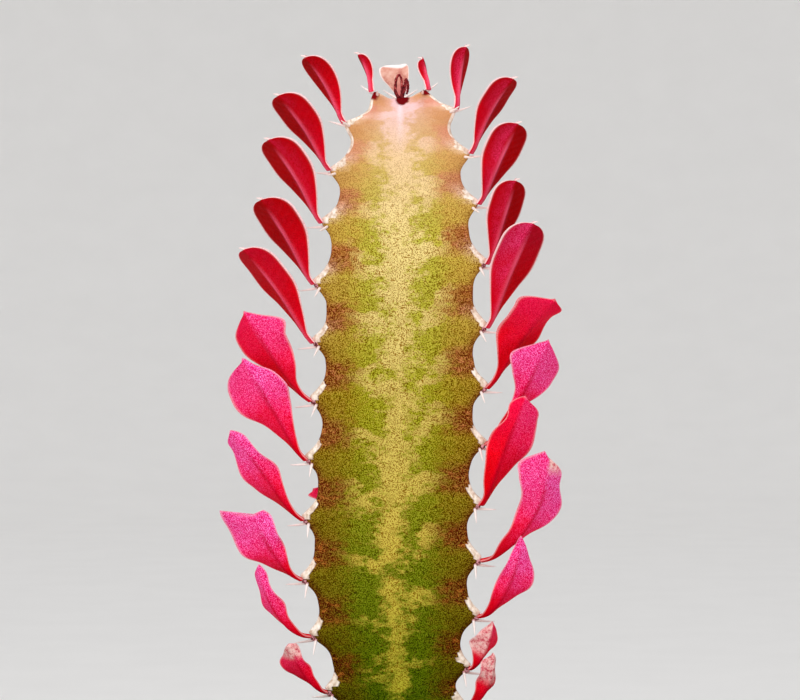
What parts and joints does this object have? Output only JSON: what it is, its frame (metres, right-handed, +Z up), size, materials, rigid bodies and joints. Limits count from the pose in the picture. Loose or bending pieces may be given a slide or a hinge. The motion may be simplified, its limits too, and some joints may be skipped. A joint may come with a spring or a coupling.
{
  "type": "potted rubra african milk tree",
  "caption": "Three-ribbed succulent column with crimson spoon-shaped leaves and paired spines along its toothed ribs, rooted in soil in a plain clay pot with a drain hole.",
  "frame": {"origin": "centre of the pot's underside, where it rests", "axes": "+Z up along the column; -Y towards the viewer, between the left and the right rib; +X to the viewer's right"},
  "size_m": [0.128, 0.128, 0.2996],
  "materials": {
    "clay": "matt unglazed clay",
    "soil": "loose dark potting mix with pale grit",
    "stem_skin": "satin waxy skin, marbled green, cream and brown",
    "bract": "dry dark brown",
    "red_leaf": "smooth crimson to hot pink leaf",
    "pale_leaf": "smooth pale pink young leaf"
  },
  "bodies": {
    "root": {"pot": "clay", "soil": "soil", "stem": "stem_skin", "tip_bracts": "bract", "leaf_left_01": "red_leaf", "leaf_left_02": "red_leaf", "leaf_left_03": "red_leaf", "leaf_left_04": "red_leaf", "leaf_left_05": "red_leaf", "leaf_left_06": "red_leaf", "leaf_left_07": "red_leaf", "leaf_left_08": "red_leaf", "leaf_left_09": "red_leaf", "leaf_left_10": "red_leaf", "leaf_left_11": "red_leaf", "leaf_left_12": "red_leaf", "leaf_right_01": "red_leaf", "leaf_right_02": "red_leaf", "leaf_right_03": "red_leaf", "leaf_right_04": "red_leaf", "leaf_right_05": "red_leaf", "leaf_right_06": "red_leaf", "leaf_right_07": "red_leaf", "leaf_right_08": "red_leaf", "leaf_right_09": "red_leaf", "leaf_right_10": "red_leaf", "leaf_right_11": "red_leaf", "leaf_right_12": "red_leaf", "leaf_right_13": "red_leaf", "leaf_rear_01": "pale_leaf", "leaf_rear_02": "red_leaf", "leaf_rear_03": "red_leaf", "leaf_rear_04": "red_leaf", "leaf_rear_05": "red_leaf", "leaf_rear_06": "red_leaf", "leaf_rear_07": "red_leaf", "leaf_rear_08": "red_leaf", "leaf_rear_09": "red_leaf", "leaf_rear_10": "red_leaf", "leaf_rear_11": "red_leaf", "leaf_rear_12": "red_leaf"}
  },
  "joints": []
}
